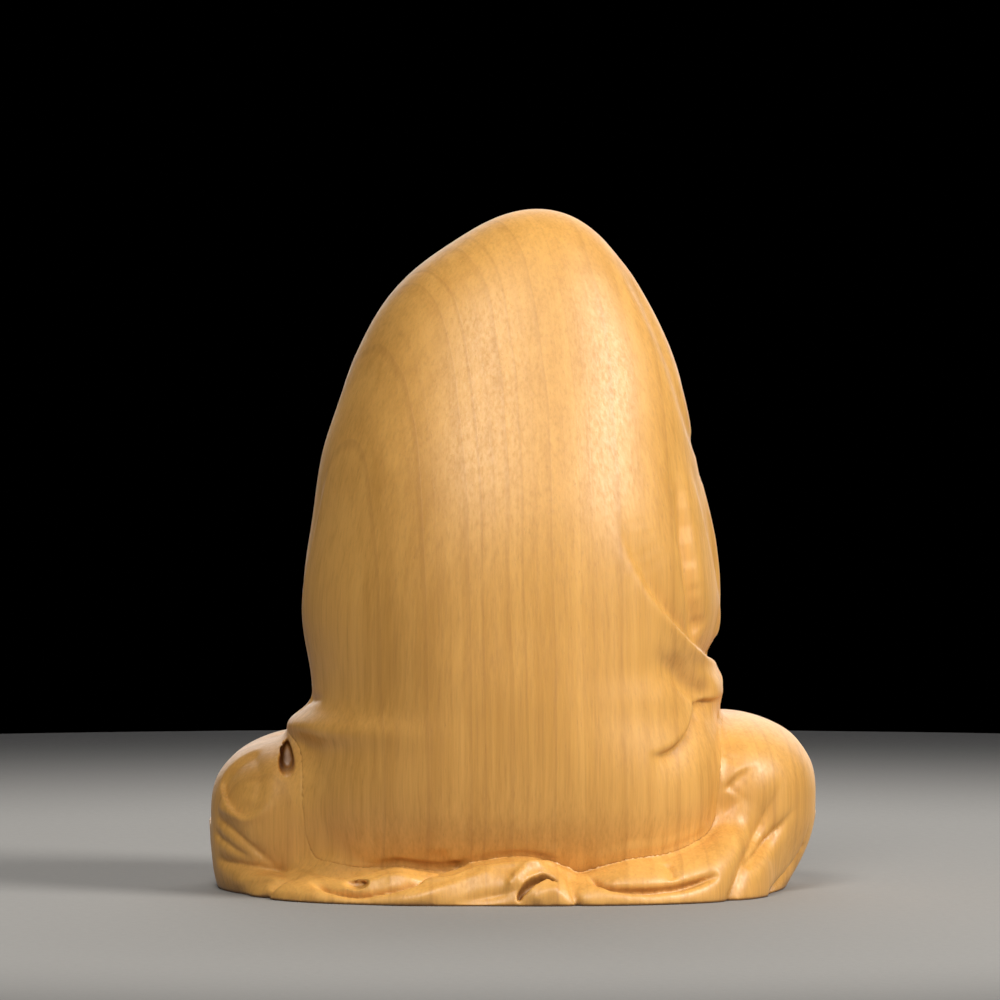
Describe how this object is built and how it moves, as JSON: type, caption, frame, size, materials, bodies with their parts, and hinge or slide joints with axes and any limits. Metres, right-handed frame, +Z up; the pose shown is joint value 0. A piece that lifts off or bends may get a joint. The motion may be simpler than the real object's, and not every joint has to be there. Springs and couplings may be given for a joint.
{
  "type": "seated veiled devotional statue",
  "caption": "Small carved boxwood statue of a veiled figure sitting cross-legged with palms together, on a flat foot.",
  "frame": {"origin": "middle of the footprint, on the resting plane", "axes": "+Z up, the figure faces -Y, its right side is at -X"},
  "size_m": [0.0696, 0.054, 0.078],
  "materials": {
    "boxwood": "satin, sanded and lightly waxed"
  },
  "bodies": {
    "root": {"mantle": "boxwood", "head": "boxwood", "torso": "boxwood", "right_sleeve": "boxwood", "left_sleeve": "boxwood", "right_hand": "boxwood", "left_hand": "boxwood", "leg_drapery": "boxwood"}
  },
  "joints": []
}
